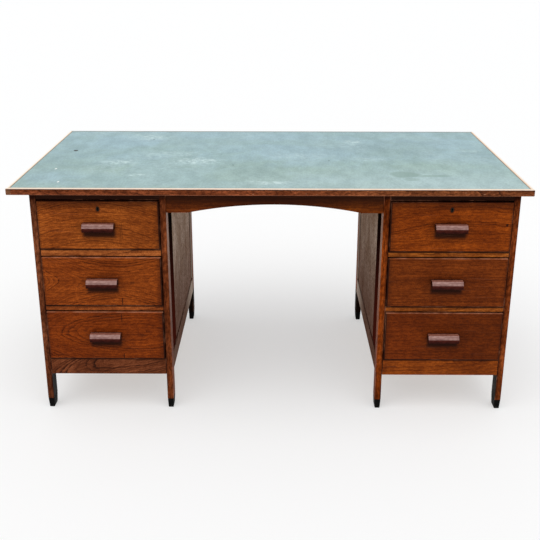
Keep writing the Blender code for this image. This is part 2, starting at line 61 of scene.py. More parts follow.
# ---------------------------------------------------------------- node graphs
class Graph:
    """A material's node tree, with a short call for each kind of node that the desk needs."""

    def __init__(self, name, specular, tint=NO_TINT):
        self.material = bpy.data.materials.new(name)
        self.material.use_nodes = True
        self.tree = self.material.node_tree
        self.shader = self.tree.nodes["Principled BSDF"]
        self.shader.inputs["Specular IOR Level"].default_value = specular
        self.shader.inputs["Specular Tint"].default_value = (*tint, 1.0)
        coordinates = self.tree.nodes.new("ShaderNodeTexCoord")
        self.position = coordinates.outputs["Object"]
        self.place = self.separate(self.position)
        geometry = self.tree.nodes.new("ShaderNodeNewGeometry")
        self.normal = self.separate(geometry.outputs["Normal"])

    def feed(self, socket, value):
        """Link a socket to a socket, or give it a fixed value."""
        if isinstance(value, bpy.types.NodeSocket):
            self.tree.links.new(value, socket)
        elif socket.type == "RGBA":
            socket.default_value = (*value, 1.0)
        else:
            socket.default_value = value

    def separate(self, vector):
        """A vector's three parts."""
        node = self.tree.nodes.new("ShaderNodeSeparateXYZ")
        self.feed(node.inputs[0], vector)
        return list(node.outputs)

    def combine(self, x, y, z):
        """A vector from three parts."""
        node = self.tree.nodes.new("ShaderNodeCombineXYZ")
        for socket, value in zip(node.inputs, (x, y, z)):
            self.feed(socket, value)
        return node.outputs[0]

    def stretched(self, x, y, z=0.0):
        """The position with each axis scaled, for patterns longer one way than another."""
        return self.combine(*[self.times(place, size) for place, size in zip(self.place, (x, y, z))])

    def math(self, operation, a, b=0.0, clamp=False):
        """Blender's own Math operations, by name."""
        node = self.tree.nodes.new("ShaderNodeMath")
        node.operation = operation
        node.use_clamp = clamp
        self.feed(node.inputs[0], a)
        self.feed(node.inputs[1], b)
        return node.outputs[0]

    def add(self, *terms):
        total = terms[0]
        for term in terms[1:]:
            total = self.math("ADD", total, term)
        return total

    def times(self, *factors):
        product = factors[0]
        for factor in factors[1:]:
            product = self.math("MULTIPLY", product, factor)
        return product

    def largest(self, amounts):
        """The largest of several values at each place."""
        most = amounts[0]
        for amount in amounts[1:]:
            most = self.math("MAXIMUM", most, amount)
        return most

    def invert(self, value):
        return self.math("SUBTRACT", 1.0, value)

    def step(self, value, start, end):
        """0 at start and before it, 1 at end and past it, with a soft rise between."""
        node = self.tree.nodes.new("ShaderNodeMapRange")
        node.interpolation_type = "SMOOTHSTEP"
        self.feed(node.inputs["Value"], value)
        if start < end:
            node.inputs["From Min"].default_value = start
            node.inputs["From Max"].default_value = end
            return node.outputs["Result"]
        node.inputs["From Min"].default_value = end
        node.inputs["From Max"].default_value = start
        node.inputs["To Min"].default_value = 1.0
        node.inputs["To Max"].default_value = 0.0
        return node.outputs["Result"]

    def noise(self, vector, scale, detail=2.0, roughness=0.5, distortion=0.0):
        node = self.tree.nodes.new("ShaderNodeTexNoise")
        self.feed(node.inputs["Vector"], vector)
        node.inputs["Scale"].default_value = scale
        node.inputs["Detail"].default_value = detail
        node.inputs["Roughness"].default_value = roughness
        node.inputs["Distortion"].default_value = distortion
        return node.outputs[0]

    def noise_along(self, value, scale, detail):
        """Noise that changes along one value only."""
        node = self.tree.nodes.new("ShaderNodeTexNoise")
        node.noise_dimensions = "1D"
        self.feed(node.inputs["W"], value)
        node.inputs["Scale"].default_value = scale
        node.inputs["Detail"].default_value = detail
        return node.outputs[0]

    def cells(self, vector, scale):
        """Distance to the nearest of many scattered points."""
        node = self.tree.nodes.new("ShaderNodeTexVoronoi")
        self.feed(node.inputs["Vector"], vector)
        node.inputs["Scale"].default_value = scale
        return node.outputs["Distance"]

    def mix(self, factor, a, b, blend="MIX"):
        """The first colour where the factor is 0, and the second where it is 1."""
        node = self.tree.nodes.new("ShaderNodeMix")
        node.data_type = "RGBA"
        node.blend_type = blend
        colours = [socket for socket in node.inputs if socket.type == "RGBA"]
        self.feed(node.inputs[0], factor)
        self.feed(colours[0], a)
        self.feed(colours[1], b)
        return [socket for socket in node.outputs if socket.type == "RGBA"][0]

    def tint(self, colour, factors):
        """A colour multiplied by another."""
        return self.mix(1.0, colour, factors, "MULTIPLY")

    def ramp(self, value, stops):
        """Colours by value, from stops of a value and a colour."""
        node = self.tree.nodes.new("ShaderNodeValToRGB")
        self.feed(node.inputs[0], value)
        elements = node.color_ramp.elements
        while len(elements) < len(stops):
            elements.new(0.5)
        for element, (place, colour) in zip(elements, stops):
            element.position = place
            element.color = (*colour, 1.0)
        return node.outputs[0]

    def bump(self, height, distance, strength):
        """Relief of the surface, at most so many metres high."""
        node = self.tree.nodes.new("ShaderNodeBump")
        self.feed(node.inputs["Height"], height)
        node.inputs["Distance"].default_value = distance
        node.inputs["Strength"].default_value = strength
        self.tree.links.new(node.outputs["Normal"], self.shader.inputs["Normal"])

    def finish(self, colour, roughness):
        """Link the last colour and roughness, and hand over the material."""
        self.feed(self.shader.inputs["Base Color"], colour)
        self.feed(self.shader.inputs["Roughness"], roughness)
        return self.material


def wear(node, material):
    """Put a material on a CAD node in place of its own."""
    mesh = NODES[node].data
    mesh.materials.clear()
    mesh.materials.append(material)


# ---------------------------------------------------------------- masks by place
def edge_distance(g, low, high):
    """Metres to the nearest edge of a box-shaped piece, measured over its surface."""
    gaps = []
    for axis in (X, Y, Z):
        above_low = g.math("SUBTRACT", g.place[axis], low[axis])
        below_high = g.math("SUBTRACT", high[axis], g.place[axis])
        gaps.append(g.math("MINIMUM", above_low, below_high))
    least = g.math("MINIMUM", gaps[0], gaps[1])
    most = g.math("MAXIMUM", gaps[0], gaps[1])
    return g.math("MAXIMUM", least, g.math("MINIMUM", most, gaps[2]))


def ragged(g, distance, unevenness, scale=60.0):
    """A distance made uneven, so that wear, dirt and painted shade don't follow an edge like a drawn line.
    """
    sway = g.math("SUBTRACT", g.noise(g.position, scale, 3.0), 0.5)
    return g.add(distance, g.times(sway, unevenness))


def band(g, distance, unevenness, end, full, strength, scale=60.0):
    """A ragged mark along an edge: nothing beyond the end, and its whole strength by full."""
    return g.times(g.step(ragged(g, distance, unevenness, scale), end, full), strength)


def from_plane(g, axis, place):
    """Distance to a plane across one axis."""
    return g.math("ABSOLUTE", g.math("SUBTRACT", g.place[axis], place))


def patch_distance(g, centre, half_sizes, axes):
    """0 at a patch's centre and 1 on its oval outline."""
    squares = []
    for axis, middle, half in zip(axes, centre, half_sizes):
        share = g.times(g.math("SUBTRACT", g.place[axis], middle), 1.0 / half)
        squares.append(g.times(share, share))
    return g.math("SQRT", g.add(*squares))


# ---------------------------------------------------------------- oak
OAK_SPECULAR = 0.11
OAK_TINT = (1.0, 0.62, 0.38)
OAK_RELIEF = 0.0005              # metres
OAK_BUMP = 0.55
# dark brown for old dirt and for painted shade
DIRT_AND_SHADE_COLOUR = (0.0150, 0.0024, 0.0016)
# pale bare oak for wear and for painted highlights
BARE_OAK_AND_HIGHLIGHT = (0.50, 0.20, 0.11)
FIGURE_WEIGHTS = {"streaks": 0.32, "fibres": 0.14, "bands": 0.16}
RING_PITCH = 0.0068              # metres from one growth ring to the next
RING_WANDER = 0.022              # how far the rings drift from side to side
RING_WOBBLE = 0.0085             # their small waves
PATCHINESS = 0.16                # how much a board's colour changes slowly over its length
FLECKING = 0.20                  # and from one small fleck to the next
VARNISH_ROUGHNESS = 0.36
EDGE_WEAR_REACH = 0.0020
EDGE_WEAR = 0.55
SCRATCHED = 0.09


class Grain:
    """Flat-sawn oak figure on one board: ring lines, pores, fibres and its own coordinates."""

    def __init__(self, g, node, grain, facing, seed, pith=(0.0, 0.10), bow=0.0, taper=0.0,
                 slant=0.0, lines=0.6):
        low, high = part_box(node)
        centre = (low + high) / 2
        across = ({X, Y, Z} - {grain, facing}).pop()
        self.g, self.low, self.high, self.seed = g, low, high, seed
        self.along = g.math("SUBTRACT", g.place[grain], centre[grain])
        level = g.math("SUBTRACT", g.place[across], centre[across])
        self.across = g.add(level, g.times(self.along, slant))
        self.deep = g.math("SUBTRACT", g.place[facing], centre[facing])

        wander = g.math("SUBTRACT", self.noise(3.0, 10.0, 2.0), 0.5)
        wobble = g.math("SUBTRACT", self.noise(26.0, 70.0, 3.0), 0.5)
        off_pith = g.add(self.across, -pith[0], g.times(wander, RING_WANDER))
        depth = g.add(self.deep, pith[1])
        radius = g.math("SQRT", g.add(g.times(off_pith, off_pith), g.times(depth, depth)))
        lean = g.add(g.times(self.along, taper), g.times(self.along, self.along, bow))
        self.radius = g.add(radius, lean, g.times(wobble, RING_WOBBLE))

        self.bands = g.step(g.noise_along(g.add(self.radius, seed), 60.0, 2.0), 0.34, 0.66)
        # the 10 m keep the radius above 0, whatever the lean
        turns = g.math("FRACT", g.times(g.add(self.radius, 10.0), 1 / RING_PITCH))
        strength = g.step(g.noise_along(g.add(self.radius, seed + 3.0), 48.0, 1.0), 0.42, 0.66)
        dashes = g.step(self.noise(22.0, 300.0, 2.0), 0.36, 0.56)
        ring = g.math("POWER", g.invert(turns), 3.2)
        self.lines = g.times(ring, g.add(0.22, g.times(strength, 0.78)),
                             g.add(0.45, g.times(dashes, 0.55)), lines)
        self.streaks = g.step(self.noise(8.0, 240.0, 3.0), 0.32, 0.70)
        self.flecks = g.step(self.noise(75.0, 185.0, 3.0), 0.34, 0.66)
        self.fibres = self.noise(26.0, 900.0, 2.0)
        pores = g.step(self.noise(45.0, 1500.0, 1.0), 0.56, 0.70)
        self.pores = g.times(pores, g.add(0.30, g.times(ring, 0.70)))

    def noise(self, along_scale, across_scale, detail):
        """Noise stretched along the grain."""
        g = self.g
        stretched = g.combine(g.add(g.times(self.along, along_scale), self.seed),
                              g.times(self.across, across_scale), g.times(self.deep, across_scale))
        return g.noise(stretched, 1.0, detail)

    def darkness(self):
        """0 for the palest wood, 1 for the darkest lines."""
        g = self.g
        parts = {"streaks": self.streaks, "fibres": self.fibres, "bands": self.bands}
        weighted = [g.times(part, FIGURE_WEIGHTS[name]) for name, part in parts.items()]
        return g.add(self.lines, *weighted)

    def height(self):
        """Relief of the surface: open pores and slightly raised fibres."""
        g = self.g
        raised = g.times(self.fibres, 0.35)
        return g.add(raised, g.times(self.streaks, 0.25), g.times(self.pores, -0.9))


def scaled(colour, *factors):
    """A fixed colour with its parts multiplied by one factor, or by three."""
    if len(factors) == 1:
        factors = factors * 3
    return tuple(part * factor for part, factor in zip(colour, factors))


def stained(g, grain, tone, patch=PATCHINESS, flecks=FLECKING):
    """Varnished oak before wear and dirt: figure, pores, flecks and slow changes of colour."""
    tone = scaled(tone, 0.86, 0.80, 0.72)
    dark = scaled(tone, 0.24, 0.20, 0.22)
    pale, middling = scaled(tone, 1.30, 1.38, 1.50), scaled(tone, 0.66, 0.60, 0.60)
    stops = [(0.10, pale), (0.34, tone), (0.62, middling), (0.95, dark)]
    colour = g.ramp(grain.darkness(), stops)
    colour = g.mix(g.times(grain.pores, 0.55), colour, dark)
    least, most = 1.0 - flecks, 1.0 + flecks
    speckle = g.mix(grain.flecks, (most, most * 1.05, most * 1.08), (least, least * 0.95, least * 0.92))
    colour = g.tint(colour, speckle)
    speck = g.step(g.noise(g.position, 330.0, 2.0), 0.34, 0.66)
    colour = g.tint(colour, g.mix(speck, (0.79, 0.76, 0.74), (1.21, 1.23, 1.24)))
    shade = g.step(g.noise(g.position, 11.0, 4.0), 0.32, 0.68)
    low, high = 1.0 - patch, 1.0 + patch
    patches = g.mix(shade, (low, low * 0.94, low * 0.90), (high, high * 1.04, high * 1.08))
    return g.tint(colour, patches)


def varnish(g, grain, base=VARNISH_ROUGHNESS):
    """Roughness of worn satin varnish."""
    return g.add(base, g.times(grain.streaks, 0.10), g.times(g.noise(g.position, 35.0, 3.0), 0.20))


def dirtied_and_shaded(g, colour, amount):
    """A colour darkened by old dirt, and by painted shade in gaps, corners and under the top."""
    return g.mix(amount, colour, DIRT_AND_SHADE_COLOUR)


def worn_and_highlighted(g, colour, amount):
    """A colour lightened towards bare wood, by wear, and by the painted highlight on drawer fronts' upper
    edges.
    """
    return g.mix(amount, colour, BARE_OAK_AND_HIGHLIGHT)


def edge_wear(g, grain):
    """Patchy rubbing along the edges of a board."""
    distance = edge_distance(g, grain.low, grain.high)
    edge = g.step(ragged(g, distance, EDGE_WEAR_REACH * 1.5, 80.0), EDGE_WEAR_REACH, 0.0)
    patches = g.step(g.noise(g.position, 18.0, 3.0), 0.46, 0.66)
    return g.times(edge, patches, EDGE_WEAR)


def scratches(g):
    """Thin stray scratches, mostly along X and slightly tilted."""
    tilted = g.combine(g.times(g.place[X], 7.0),
                       g.add(g.times(g.place[Z], 420.0), g.times(g.place[X], 18.0)),
                       g.times(g.place[Y], 420.0))
    return g.step(g.noise(tilted, 1.0, 1.0), 0.70, 0.76)


def oak(node, grain_axis, facing, tone, seed, figure, patch=PATCHINESS, flecks=FLECKING):
    """A board's graph, grain and stained colour, ready for its own wear and dirt."""
    g = Graph("oak_" + node, OAK_SPECULAR, OAK_TINT)
    grain = Grain(g, node, grain_axis, facing, seed, **figure)
    return g, grain, stained(g, grain, tone, patch, flecks)


def oak_finish(g, grain, colour):
    """Edge wear, fine scratches, relief and gloss, the last of every varnished board's material."""
    colour = worn_and_highlighted(g, colour, edge_wear(g, grain))
    colour = worn_and_highlighted(g, colour, g.times(scratches(g), SCRATCHED))
    g.bump(grain.height(), OAK_RELIEF, OAK_BUMP)
    return g.finish(colour, varnish(g, grain))


# ---------------------------------------------------------------- drawer fronts
FRONTS = {
    ("left", "top"): {"tone": (0.312, 0.0740, 0.0100), "right_end": 0.88, "seed": 3.1,
                      "figure": {"pith": (-0.105, 0.050), "bow": 1.15, "taper": 0.04, "lines": 0.95}},
    ("left", "middle"): {"tone": (0.262, 0.0530, 0.0060), "right_end": 0.90, "seed": 7.7,
                         "figure": {"pith": (0.004, 0.030), "bow": -1.30, "taper": 0.10, "lines": 0.90}},
    ("left", "bottom"): {"tone": (0.188, 0.0315, 0.0026), "right_end": 0.97, "seed": 12.3,
                         "figure": {"pith": (0.012, 0.050), "bow": 0.80, "taper": -0.12, "lines": 0.85}},
    ("right", "top"): {"tone": (0.220, 0.0405, 0.0026), "right_end": 1.02, "seed": 17.9,
                       "figure": {"pith": (0.120, 0.080), "bow": -0.50, "taper": 0.07, "lines": 0.60}},
    ("right", "middle"): {"tone": (0.148, 0.0280, 0.0032), "right_end": 1.05, "seed": 23.5,
                          "figure": {"pith": (-0.140, 0.100), "bow": 0.15, "taper": -0.04, "lines": 0.22}},
    ("right", "bottom"): {"tone": (0.142, 0.0235, 0.0022), "right_end": 0.74, "seed": 29.2,
                          "figure": {"pith": (-0.010, 0.300), "bow": 0.20, "taper": 0.06, "lines": 0.18}},
}
# small old marks: place across and up from the front's middle, half width, half height, strength
FRONT_MARKS = {
    ("left", "top"): ((0.0630, -0.0165, 0.0010, 0.030, 0.60), (0.0680, -0.0165, 0.0010, 0.030, 0.60)),
    ("left", "middle"): ((0.057, -0.064, 0.0022, 0.013, 0.80), (0.090, -0.004, 0.009, 0.005, 0.50)),
    ("left", "bottom"): ((0.051, 0.060, 0.0020, 0.018, 0.70), (0.052, -0.069, 0.0022, 0.010, 0.80),
                         (0.112, 0.001, 0.016, 0.004, 0.45)),
    ("right", "top"): ((0.165, 0.007, 0.0040, 0.0045, 0.95),),
    ("right", "middle"): (),
    ("right", "bottom"): ((-0.060, 0.020, 0.020, 0.003, 0.30),),
}
KEYHOLE_DROP = 0.024             # the keyhole's middle below the drawer front's upper edge
RIM_SHADE = 0.0024                # height of the painted shade along a drawer front's lower edge
END_GAP_SHADE = 0.0046            # its width at the end beside the kneehole
HIGHLIGHT_DEPTH = 0.0060              # how far back an upper edge carries its painted highlight
HANDLE_SHADE = 0.0330            # how far the painted shadow reaches below a handle


def front_dirt_and_shade(g, grain, side, level):
    """Dirt and painted shade on a drawer front: painted shade at its rim and under the top board, the
    keyhole, old marks, finger grease and the handle's painted shadow.
    """
    low, high = grain.low, grain.high
    centre = (low + high) / 2
    inner_end = high[X] if SIDES[side] < 0 else low[X]
    outer_end = low[X] if SIDES[side] < 0 else high[X]
    from_inner = from_plane(g, X, inner_end)
    from_outer = from_plane(g, X, outer_end)
    from_top = from_plane(g, Z, high[Z])
    from_bottom = from_plane(g, Z, low[Z])
    # painted shade in the gaps round the front: at the inner end with a softer band beyond it, along the
    # lower edge, and lighter at the outer end
    amounts = [
        band(g, from_inner, 0.0012, END_GAP_SHADE + 0.0012, END_GAP_SHADE - 0.0014, 0.96),
        band(g, from_inner, 0.010, 0.022, 0.004, 0.38),
        band(g, from_bottom, 0.0010, RIM_SHADE + 0.0008, RIM_SHADE - 0.0008, 0.94),
        band(g, from_outer, 0.0060, 0.0090, 0.0010, 0.45),
    ]
    if level == "top":
        # painted shade of the top board over the upper part, and painted shade in the gap along the upper
        # edge
        amounts.append(band(g, from_top, 0.012, 0.036, 0.0, 0.62))
        amounts.append(band(g, from_top, 0.0008, 0.0036, 0.0020, 0.90))
        key_stain = patch_distance(g, (centre[X], high[Z] - KEYHOLE_DROP), (0.0078, 0.0120), (X, Z))
        amounts.append(band(g, key_stain, 0.4, 1.15, 0.50, 0.85, 220.0))
    for across, up, half_width, half_height, strength in FRONT_MARKS[side, level]:
        middle = (centre[X] + across, centre[Z] + up)
        oval = patch_distance(g, middle, (half_width, half_height), (X, Z))
        amounts.append(band(g, oval, 0.9, 1.15, 0.65, strength, 260.0))

    handle_low, handle_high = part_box(f"drawer_{side}_{level}_handle")
    # finger grease round the handle together with painted shade, the patch sitting lower than the handle
    grease_and_shade = patch_distance(g, (centre[X], centre[Z] - 0.012), (0.082, 0.040), (X, Z))
    amounts.append(band(g, grease_and_shade, 0.5, 1.1, 0.5, 0.26, 30.0))
    # painted shadow cast by the handle on the front below it
    half = (handle_high[X] - handle_low[X]) / 2
    beside = g.step(from_plane(g, X, centre[X]), half + 0.009, half - 0.006)
    below = g.step(g.place[Z], handle_low[Z] - HANDLE_SHADE, handle_low[Z] - 0.0140)
    above = g.step(g.place[Z], handle_high[Z] + 0.0030, handle_high[Z])
    amounts.append(g.times(beside, below, above, 0.97))
    return g.largest(amounts)


def drawer_front_material(side, level):
    """Figured oak with a painted highlight along the upper edge, and dirt and painted shade in the right
    places.
    """
    node = f"drawer_{side}_{level}_front"
    look = FRONTS[side, level]
    g, grain, colour = oak(node, X, Y, look["tone"], look["seed"], look["figure"])
    rightwards = g.step(g.place[X], grain.low[X], grain.high[X])
    colour = g.tint(colour, g.mix(rightwards, NO_TINT, scaled(NO_TINT, look["right_end"])))
    colour = dirtied_and_shaded(g, colour, front_dirt_and_shade(g, grain, side, level))
    if level != "top":
        # a painted highlight on the rounded upper edge of the middle and bottom fronts
        upper_edge = g.step(from_plane(g, Z, grain.high[Z]), 0.0030, 0.0008)
        highlight_patches = g.add(0.12, g.times(g.step(g.noise(g.position, 30.0, 3.0), 0.30, 0.70), 0.62))
        highlight_end = grain.low[Y] + HIGHLIGHT_DEPTH
        forward = g.step(g.place[Y], highlight_end + 0.0008, highlight_end - 0.0005)
        colour = worn_and_highlighted(g, colour, g.times(upper_edge, highlight_patches, forward))
        # painted shade in the gap just behind that edge
        behind = g.step(g.place[Y], highlight_end - 0.0008, highlight_end + 0.0010)
        colour = dirtied_and_shaded(g, colour, g.times(behind, 0.9))
    return oak_finish(g, grain, colour)


# ---------------------------------------------------------------- legs, rails and aprons
LEG_TONES = {
    ("left", "outer"): (0.165, 0.0490, 0.0200),
    ("left", "inner"): (0.188, 0.0470, 0.0145),
    ("right", "inner"): (0.215, 0.0410, 0.0050),
    ("right", "outer"): (0.185, 0.0400, 0.0085),
}
KNEEHOLE_REFLECTION = {"left": (0.400, 0.230, 0.165), "right": (0.340, 0.165, 0.095)}
BACK_LEG_PAINTED_LIGHT = (0.560, 0.460, 0.360)
UNDER_DESK_SHADE = (0.0030, 0.0022, 0.0018)
SHADE_BELOW_HEIGHT = 0.128          # height below which a leg's hidden faces get near-black painted shade
LEG_SPECULARS = {"front": 0.035, "back": 0.015}


def leg_material(side, which, end):
    """A leg: with a painted pale reflection towards the kneehole, and near-black painted shade below the
    rails on its hidden faces.
    """
    node = f"leg_{side}_{which}_{end}"
    direction = SIDES[side] if which == "outer" else -SIDES[side]
    figure = {"pith": (0.03, 0.05), "bow": 0.10, "taper": 0.03, "lines": 0.8}
    g, grain, colour = oak(node, Z, Y, LEG_TONES[side, which], 41.0 + 5.3 * len(node), figure, 0.28, 0.36)
    low, high = grain.low, grain.high
    drawer_side = low[X] if direction > 0 else high[X]
    from_drawer = from_plane(g, X, drawer_side)
    from_top = from_plane(g, Z, high[Z])
    faces_out = g.step(g.times(g.normal[X], direction), 0.5, 0.8)
    # painted shade under the top board, painted shade in the gap beside the drawers with a softer
    # darkening beyond it, and darker towards the floor
    amounts = [
        band(g, from_top, 0.010, 0.034, 0.014, 0.93),
        band(g, from_top, 0.060, 0.150, 0.020, 0.45, 25.0),
        band(g, from_drawer, 0.0014, 0.0034, 0.0010, 0.85),
        band(g, from_drawer, 0.012, 0.0110, 0.0020, 0.42, 30.0),
        band(g, g.place[Z], 0.05, 0.13, 0.02, 0.36, 30.0),
    ]
    if which == "outer":
        # painted shade on the outward face of an outer leg
        amounts.append(g.times(faces_out, 0.30))
    dirt_and_shade = g.largest(amounts)
    if which == "inner":
        # a painted pale reflection on the kneehole face of an inner leg, which also gets less painted
        # shade
        apron_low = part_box("apron_front")[0][Z]
        below_apron = g.step(g.place[Z], apron_low + 0.004, apron_low - 0.004)
        height = g.times(g.step(g.place[Z], 0.16, 0.60), below_apron)
        colour = g.mix(g.times(faces_out, height, 0.75), colour, KNEEHOLE_REFLECTION[side])
        dirt_and_shade = g.times(dirt_and_shade, g.invert(g.times(faces_out, 0.8)))
    colour = dirtied_and_shaded(g, colour, dirt_and_shade)
    # near-black painted shade on the faces hidden under the desk, below the rails
    below_rails = g.step(g.place[Z], SHADE_BELOW_HEIGHT, SHADE_BELOW_HEIGHT - 0.010)
    faces_back = g.step(g.normal[Y], 0.5, 0.8)
    faces_front = g.step(g.normal[Y], -0.5, -0.8)
    faces_in = g.step(g.times(g.normal[X], -direction), 0.5, 0.8)
    if end == "front":
        hidden = g.math("MAXIMUM", faces_in, faces_back)
    else:
        hidden = g.math("MAXIMUM", faces_in, g.math("MAXIMUM", faces_front, faces_out))
    colour = g.mix(g.times(below_rails, hidden, 0.97), colour, UNDER_DESK_SHADE)
    if which == "inner" and end == "back":
        # painted light on a back inner leg's front face above the rails, against the shade there
        colour = g.mix(g.times(faces_front, g.invert(below_rails)), colour, BACK_LEG_PAINTED_LIGHT)
    g.shader.inputs["Specular IOR Level"].default_value = LEG_SPECULARS[end]
    return oak_finish(g, grain, colour)


RAILS = {
    # the top rails' near-black tones are painted shade from the top board over them
    ("left", "top"): {"tone": (0.030, 0.0060, 0.0016), "seed": 50.3},
    ("left", "upper"): {"tone": (0.390, 0.1130, 0.0270), "seed": 51.9},
    ("left", "lower"): {"tone": (0.265, 0.0640, 0.0130), "seed": 53.1},
    ("left", "bottom"): {"tone": (0.148, 0.0400, 0.0150), "seed": 54.8,
                         "figure": {"pith": (0.02, 0.05), "bow": 0.30, "taper": -0.20, "slant": -0.34,
                                    "lines": 1.6}},
    ("right", "top"): {"tone": (0.030, 0.0060, 0.0016), "seed": 56.2},
    ("right", "upper"): {"tone": (0.315, 0.0880, 0.0125), "seed": 57.7},
    ("right", "lower"): {"tone": (0.315, 0.0860, 0.0125), "seed": 58.4},
    ("right", "bottom"): {"tone": (0.225, 0.0470, 0.0045), "seed": 59.6,
                          "figure": {"pith": (0.03, 0.07), "bow": 0.20, "taper": 0.05}},
}


def rail_material(side, level):
    """A rail between two legs, with painted shade along the drawers and dirt in its joints."""
    node = f"rail_{side}_{level}"
    look = RAILS[side, level]
    figure = look.get("figure", {"pith": (0.02, 0.06), "bow": 0.10, "taper": 0.05})
    g, grain, colour = oak(node, X, Y, look["tone"], look["seed"], figure, patch=0.20)
    low, high = grain.low, grain.high
    from_top = from_plane(g, Z, high[Z])
    from_bottom = from_plane(g, Z, low[Z])
    ends = g.math("MINIMUM", from_plane(g, X, low[X]), from_plane(g, X, high[X]))
    amounts = [band(g, ends, 0.0010, 0.0022, 0.0006, 0.80)]
    if level == "top":
        # painted shade nearly all over, because it sits in the shade of the top
        amounts.append(g.step(ragged(g, from_bottom, 0.002), 0.0, 0.0001))
    else:
        # painted shade along the upper edge, under the proud drawer front above
        amounts.append(band(g, from_top, 0.0010, 0.0052, 0.0030, 0.93))
    if level in ("upper", "lower"):
        # painted shade along the lower edge, in the gap above the drawer below
        amounts.append(band(g, from_bottom, 0.0008, 0.0016, 0.0004, 0.85))
    return oak_finish(g, grain, dirtied_and_shaded(g, colour, g.largest(amounts)))


APRON_TONE = (0.145, 0.0280, 0.0030)
APRON_MIDDLE_SHADE = (0.74, 0.70, 0.60)
APRON_RIGHT = (1.34, 1.50, 1.10)


def apron_material(end):
    """An apron across the kneehole, with painted shade: darker in the middle, and near black just under
    the top.
    """
    figure = {"pith": (0.05, 0.07), "bow": 0.05, "taper": 0.02}
    g, grain, colour = oak("apron_" + end, X, Y, APRON_TONE, 57.0, figure)
    # painted shade towards the middle, where the arch brings the apron close to the top
    towards_ends = g.step(from_plane(g, X, (grain.low[X] + grain.high[X]) / 2), 0.04, 0.26)
    ends = g.mix(g.step(g.place[X], 0.0, 0.30), NO_TINT, APRON_RIGHT)
    colour = g.tint(colour, g.mix(towards_ends, APRON_MIDDLE_SHADE, ends))
    # painted shade just under the top
    shade = band(g, from_plane(g, Z, grain.high[Z]), 0.008, 0.064, 0.014, 0.90)
    return oak_finish(g, grain, dirtied_and_shaded(g, colour, shade))


# ---------------------------------------------------------------- framed panels
# the kneehole sides' pale grey tones are a painted reflection of the bright surround, seen at a glancing
# angle
PANEL_REFLECTION_TONES = {"side_left_inner": (0.660, 0.530, 0.440), "side_right_inner": (0.520, 0.400, 0.320)}
OTHER_PANEL_TONE = (0.200, 0.100, 0.050)
PANEL_DOWNWARD_SHADE = (0.44, 0.37, 0.36)
PANEL_LOW_FRONT_SHADE = (0.090, 0.034, 0.022)
RAIL_REFLECTION = (0.560, 0.470, 0.390)
MARGIN_SHADE_HIGH = (0.0022, 0.0008, 0.0005)
MARGIN_SHADE_LOW = (0.060, 0.0085, 0.0045)
FRAME_RAIL_TOP = 0.174           # upper edge of a frame's lowest rail
FIELD_LIFT = 0.014               # from that rail up to the raised field
SIDE_REACH = 0.090               # width of the painted shade beside a leg, on the sides
SIDE_LESS_AT_BACK = 0.058        # how much narrower it is at a side's back end
BACK_REACH = 0.054               # width of that painted shade on the backs
MARGIN_SHADE_IN_KNEEHOLE = 0.995       # strength of its dark colour
MARGIN_SHADE_ELSEWHERE = 0.72


def panel_material(node, facing):
    """Oak of the framed sides and backs: the kneehole sides pale with painted reflection, with painted
    shade low down and round the raised field.
    """
    in_kneehole = node in PANEL_REFLECTION_TONES
    g = Graph("oak_" + node, 0.0)
    grain = Grain(g, node, Z, facing, 71.0 + len(node), (0.10, 0.08), 0.02, 0.02, lines=0.35)
    colour = stained(g, grain, PANEL_REFLECTION_TONES.get(node, OTHER_PANEL_TONE), 0.16, 0.34)
    # painted shade, darker towards the bottom
    colour = g.tint(colour, g.mix(g.step(g.place[Z], 0.66, 0.20), NO_TINT, PANEL_DOWNWARD_SHADE))
    across = Y if facing == X else X
    low, high = grain.low, grain.high
    from_front = from_plane(g, across, low[across])
    from_back = from_plane(g, across, high[across])
    reach, less_at_back = (SIDE_REACH, SIDE_LESS_AT_BACK) if facing == X else (BACK_REACH, 0.0)
    from_legs = g.math("MINIMUM", from_front, g.add(from_back, less_at_back))
    # painted shade in the margin round the raised field, beside the legs and above the rail, near black up
    # high
    above_rail = g.step(ragged(g, g.place[Z], 0.002), FRAME_RAIL_TOP - 0.001, FRAME_RAIL_TOP + 0.001)
    beside = g.step(ragged(g, from_legs, 0.004), reach, reach - 0.006)
    lifted = FRAME_RAIL_TOP + FIELD_LIFT
    beneath = g.step(ragged(g, g.place[Z], 0.003), lifted, lifted - 0.005)
    near_front = g.step(from_front, 0.34, 0.06)
    margin_shade = g.times(g.math("MAXIMUM", beside, g.times(beneath, near_front)), above_rail)
    margin_shade_colour = g.mix(g.step(g.place[Z], 0.62, 0.25), MARGIN_SHADE_HIGH, MARGIN_SHADE_LOW)
    # painted shade low down and towards the front
    lower = g.step(g.add(g.place[Z], g.times(from_front, 0.35)), 0.56, 0.16)
    colour = g.mix(g.times(lower, 0.58), colour, PANEL_LOW_FRONT_SHADE)
    if in_kneehole:
        # a painted pale reflection on the lower rail towards the back
        rail_reflection_mask = g.times(g.invert(above_rail), g.step(from_front, 0.34, 0.64))
        colour = g.mix(g.times(rail_reflection_mask, 0.65), colour, RAIL_REFLECTION)
    strength = MARGIN_SHADE_IN_KNEEHOLE if in_kneehole else MARGIN_SHADE_ELSEWHERE
    colour = g.mix(g.times(margin_shade, strength), colour, margin_shade_colour)
    colour = worn_and_highlighted(g, colour, g.times(scratches(g), 0.12))
    g.bump(grain.height(), OAK_RELIEF, OAK_BUMP)
    return g.finish(colour, g.add(0.20, varnish(g, grain, 0.34)))


